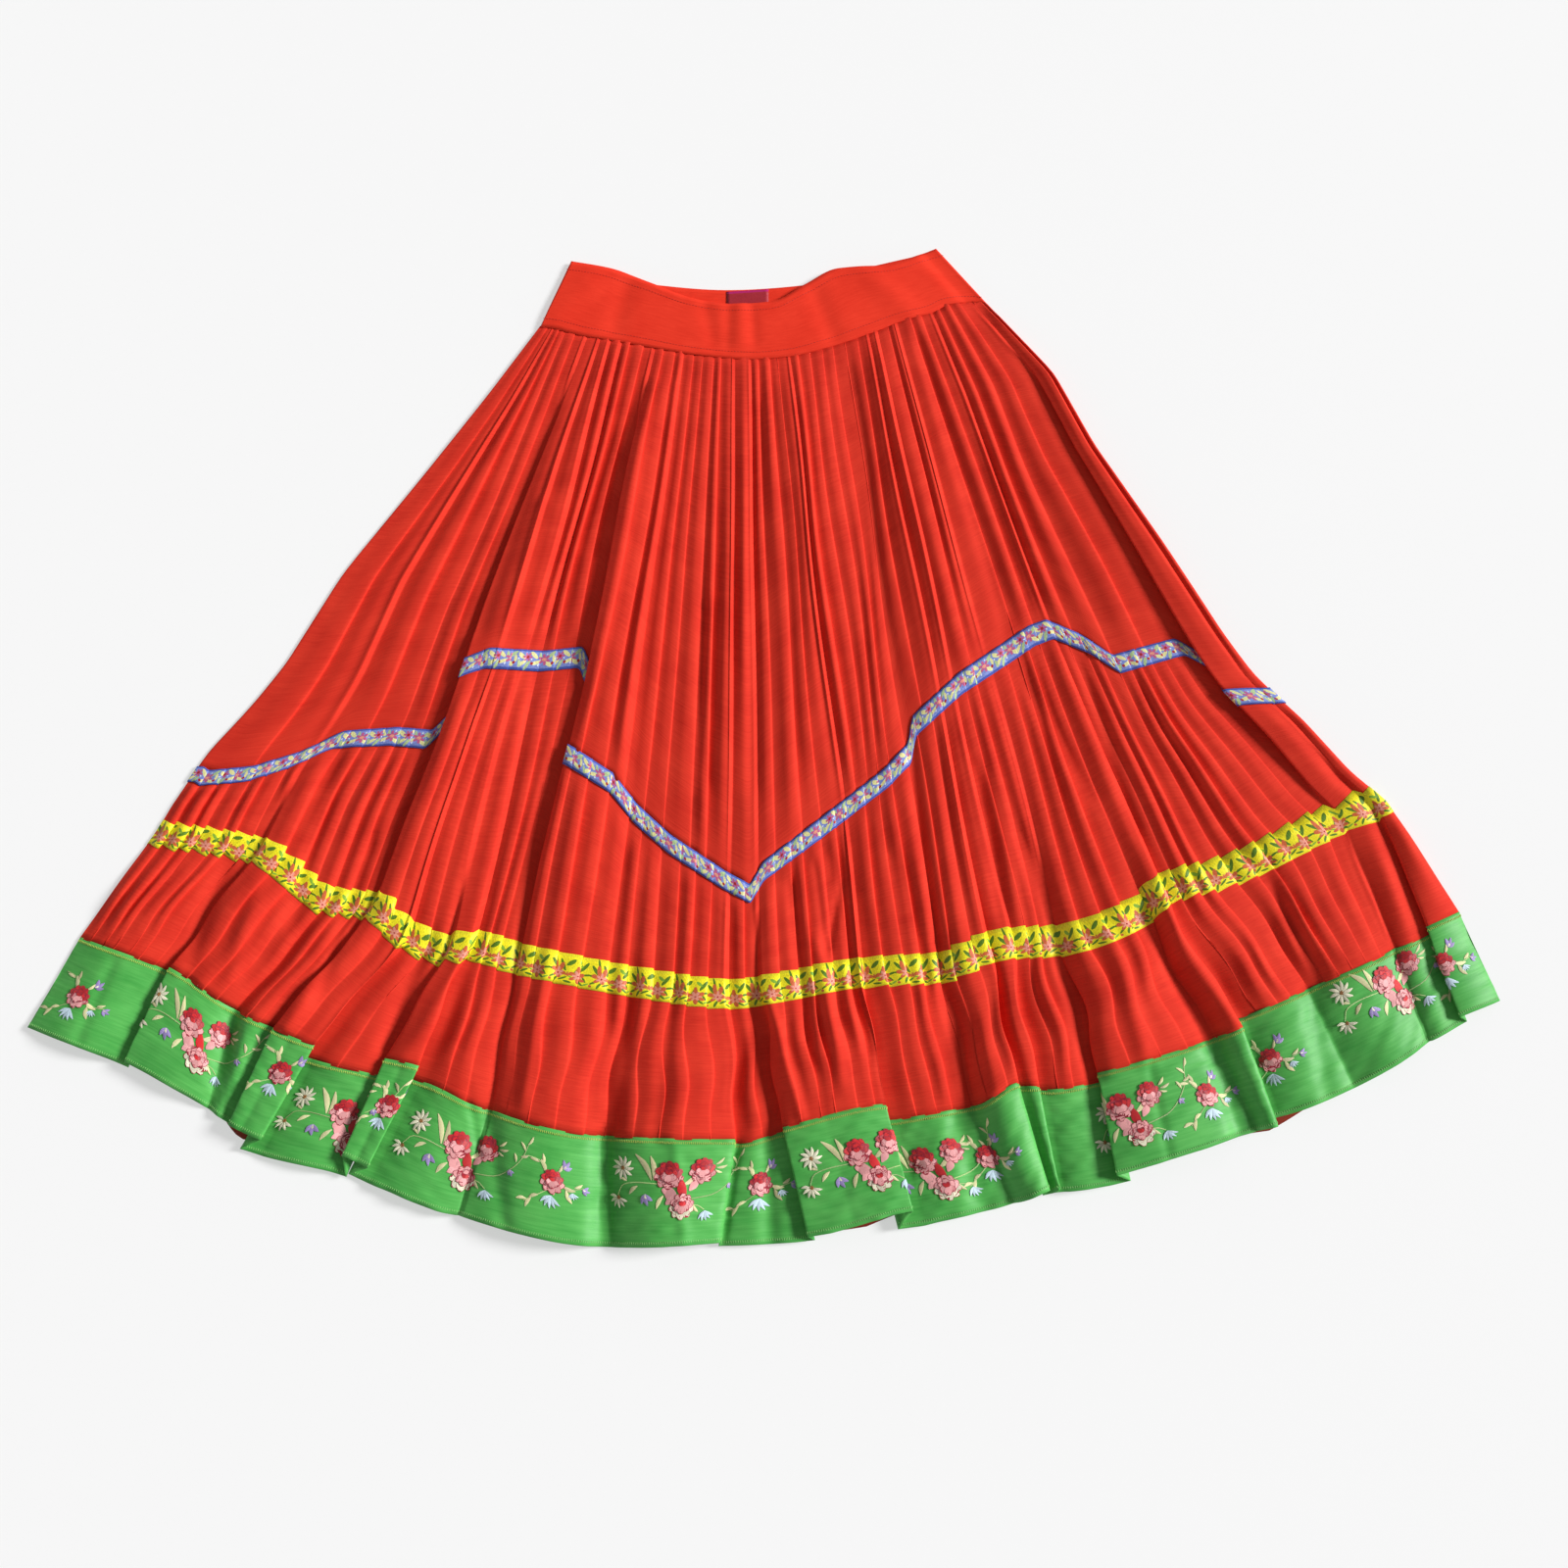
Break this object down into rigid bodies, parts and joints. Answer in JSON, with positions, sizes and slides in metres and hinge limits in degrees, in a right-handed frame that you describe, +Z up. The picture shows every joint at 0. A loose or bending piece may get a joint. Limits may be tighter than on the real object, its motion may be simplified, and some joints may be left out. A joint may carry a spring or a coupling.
{
  "type": "pleated skirt",
  "caption": "Long pleated skirt laid flat, with a shaped waistband, a zigzag seam under a flowered ribbon, a second ribbon and a deep flowered hem band.",
  "frame": {"origin": "middle of the part's box, on the surface that the skirt lies on", "axes": "+X to the right across the hem, +Y up towards the waistband, +Z up off the surface"},
  "size_m": [1.3342, 0.95, 0.0182],
  "materials": {
    "pleated_cloth": "plain weave with fine cross slubs, matt",
    "waistband_cloth": "plain weave, matt",
    "label_satin": "woven satin, bare",
    "blue_ribbon": "jacquard ribbon",
    "yellow_ribbon": "jacquard ribbon",
    "band_satin": "slubby satin"
  },
  "bodies": {
    "root": {"waistband_front": "waistband_cloth", "waistband_back": "waistband_cloth", "waist_label": "label_satin", "upper_panel_front": "pleated_cloth", "upper_panel_back": "pleated_cloth", "lower_tier_front": "pleated_cloth", "lower_tier_back": "pleated_cloth", "ribbon_blue_1": "blue_ribbon", "ribbon_blue_2": "blue_ribbon", "ribbon_blue_3": "blue_ribbon", "ribbon_blue_4": "blue_ribbon", "ribbon_yellow": "yellow_ribbon", "hem_band_front": "band_satin", "hem_band_back": "band_satin"}
  },
  "joints": []
}
